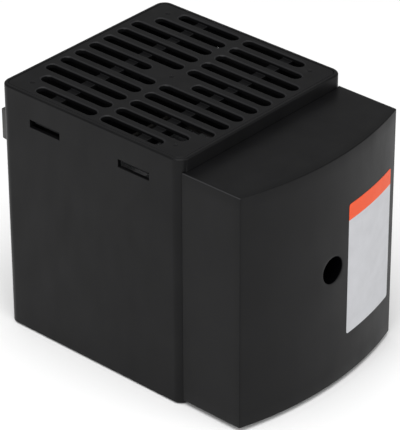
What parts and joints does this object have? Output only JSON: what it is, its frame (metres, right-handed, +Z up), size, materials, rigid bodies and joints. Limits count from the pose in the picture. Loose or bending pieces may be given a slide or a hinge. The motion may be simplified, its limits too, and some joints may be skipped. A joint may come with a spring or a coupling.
{
  "type": "enclosure fan heater",
  "caption": "Compact control cabinet fan heater: square housing, slotted outlet lid, convex terminal cover with a screw well, and a rear clip with a sprung latch for mounting rail.",
  "frame": {"origin": "centre of the housing's base, under the fan's axis", "axes": "+Z up, along the air flow; -Y out of the convex front cover, +Y towards the rail clip; +X to the right seen from the front"},
  "size_m": [0.111, 0.1648, 0.128],
  "materials": {
    "housing_plastic": "fine moulded grain, satin",
    "grille_plastic": "fine moulded grain, satin",
    "cover_plastic": "fine moulded grain, satin",
    "clip_plastic": "smooth moulded",
    "latch_plastic": "smooth moulded",
    "fan_plastic": "smooth moulded",
    "impeller_plastic": "smooth moulded",
    "carrier_plastic": "glass-filled, dull",
    "terminal_plastic": "smooth moulded",
    "zinc_steel": "zinc plated",
    "bright_steel": "ground",
    "brass": "machined",
    "tinned_brass": "tin plated",
    "grommet_rubber": "moulded",
    "magnet": "bonded ferrite",
    "lamination": "stacked sheet",
    "copper": "enamelled copper winding",
    "board": "solder resist",
    "fin_aluminium": "bright sheet",
    "tube_aluminium": "extruded",
    "film": "amber insulating film",
    "ceramic": "dense ceramic with silvered faces",
    "limiter_body": "moulded case",
    "wire_brown": "wire insulation",
    "wire_blue": "wire insulation"
  },
  "bodies": {
    "body": {"housing": "housing_plastic", "outlet_grille": "grille_plastic", "cover_insert": "brass", "terminal_block": "terminal_plastic", "terminal_cages": "brass", "terminal_screws": "zinc_steel", "terminal_fixing_screws": "zinc_steel", "cable_clamp": "fan_plastic", "cable_clamp_screws": "zinc_steel", "wall_grommets": "grommet_rubber", "fan_frame": "fan_plastic", "fan_bearing_lower": "bright_steel", "fan_bearing_upper": "bright_steel", "fan_stator_core": "lamination", "fan_coils": "copper", "fan_board": "board", "fan_screws": "zinc_steel", "heater_carrier": "carrier_plastic", "carrier_screws": "zinc_steel", "fin_pack_front": "fin_aluminium", "fin_pack_middle": "fin_aluminium", "fin_pack_rear": "fin_aluminium", "heater_tube_front": "tube_aluminium", "heater_tube_rear": "tube_aluminium", "tube_insulation": "film", "ptc_stones": "ceramic", "contact_strips": "tinned_brass", "pressure_plates": "tube_aluminium", "heater_spring": "bright_steel", "end_cap_left": "carrier_plastic", "end_cap_right": "carrier_plastic", "tab_connectors": "tinned_brass", "temperature_limiter": "limiter_body", "limiter_clip": "bright_steel", "supply_wires": "wire_brown", "jumper_wires": "wire_brown", "fan_wires": "wire_blue", "rail_clip": "clip_plastic", "latch_spring": "bright_steel", "rail_clip_screws": "zinc_steel"},
    "fan_rotor": {"fan_impeller": "impeller_plastic", "fan_shaft": "bright_steel", "rotor_yoke": "bright_steel", "rotor_magnet": "magnet", "shaft_clip": "bright_steel"},
    "latch": {"rail_latch": "latch_plastic"},
    "cover": {"front_cover": "cover_plastic", "cover_screw": "zinc_steel", "cover_screw_washer": "zinc_steel"}
  },
  "joints": [
    {"name": "fan_spin", "type": "hinge", "parent": "body", "child": "fan_rotor", "pos_m": [0, 0, 0.0155], "axis": [0, 0, 1], "continuous": true},
    {"name": "latch_slide", "type": "slide", "parent": "body", "child": "latch", "axis": [0, 0, -1], "range_m": [0, 0.0045], "stiffness_N_per_m": 2000, "springref_m": -0.002, "deforming": ["latch_spring"]},
    {"name": "cover_pull", "type": "slide", "parent": "body", "child": "cover", "axis": [0, -1, 0], "range_m": [0, 0.06]}
  ]
}
